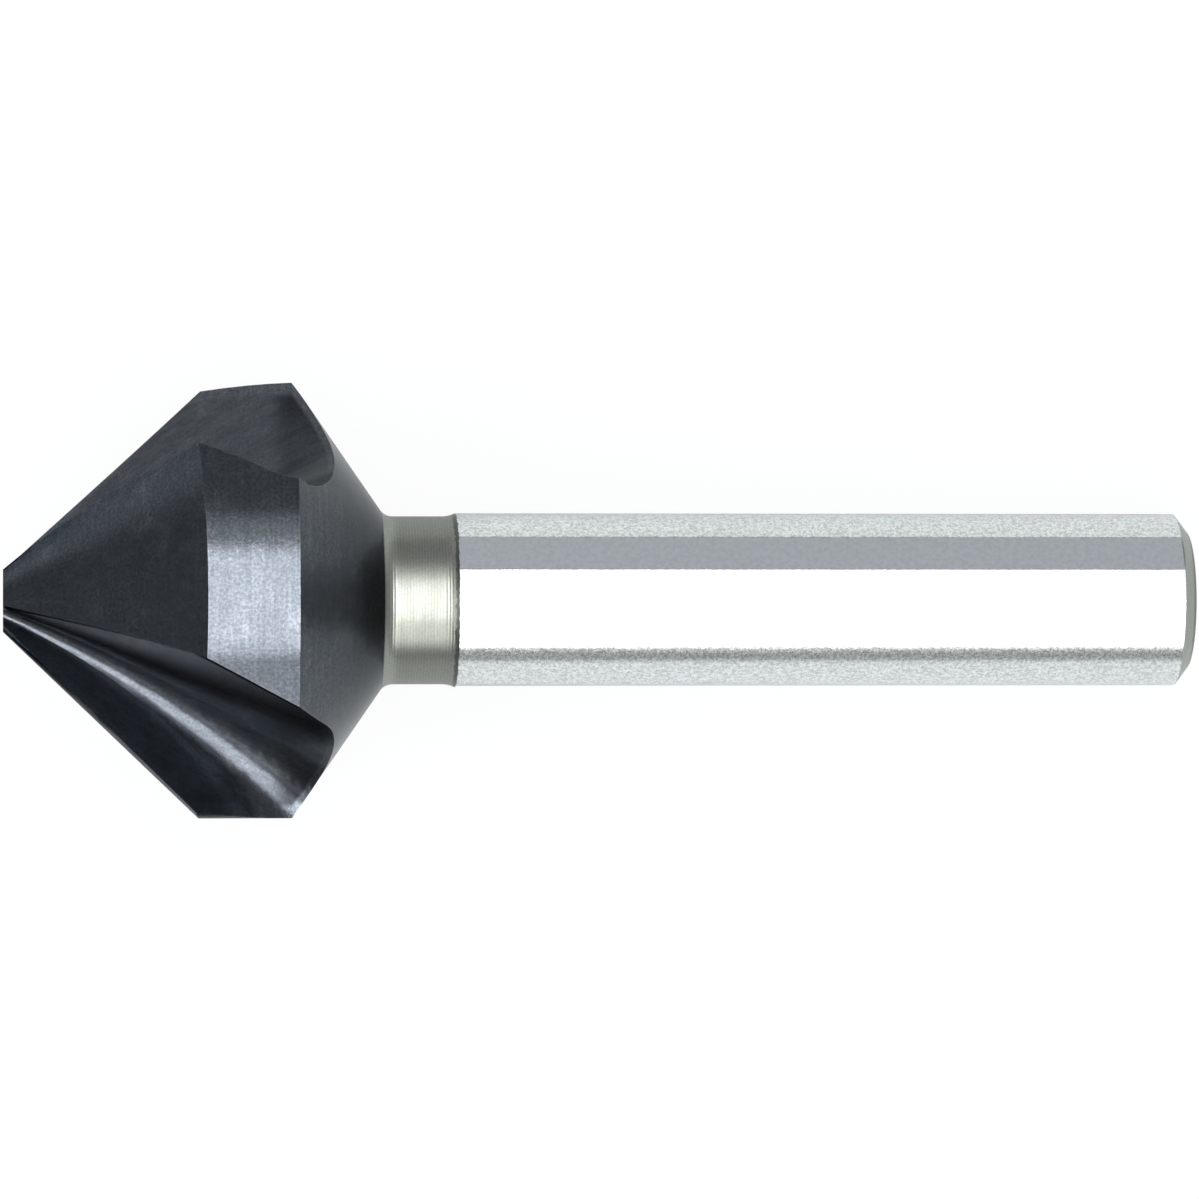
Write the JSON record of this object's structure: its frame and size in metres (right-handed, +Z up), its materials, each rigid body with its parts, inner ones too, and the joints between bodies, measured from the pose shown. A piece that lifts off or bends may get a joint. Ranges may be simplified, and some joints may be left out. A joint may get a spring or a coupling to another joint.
{
  "type": "countersink bit",
  "caption": "Three-flute countersink bit with a right-angle point cone, turned neck and round shank with shallow jaw flats, for chamfering holes.",
  "frame": {"origin": "centre of the bounding box, level with the bench that the tool lies on", "axes": "+X along the lying tool from its tip towards the end of its shank, +Z up from the bench"},
  "size_m": [0.0686, 0.025, 0.0242],
  "materials": {
    "tool_steel": "ground bright shank, dark coated head"
  },
  "bodies": {
    "root": {"countersink_bit": "tool_steel"}
  },
  "joints": []
}
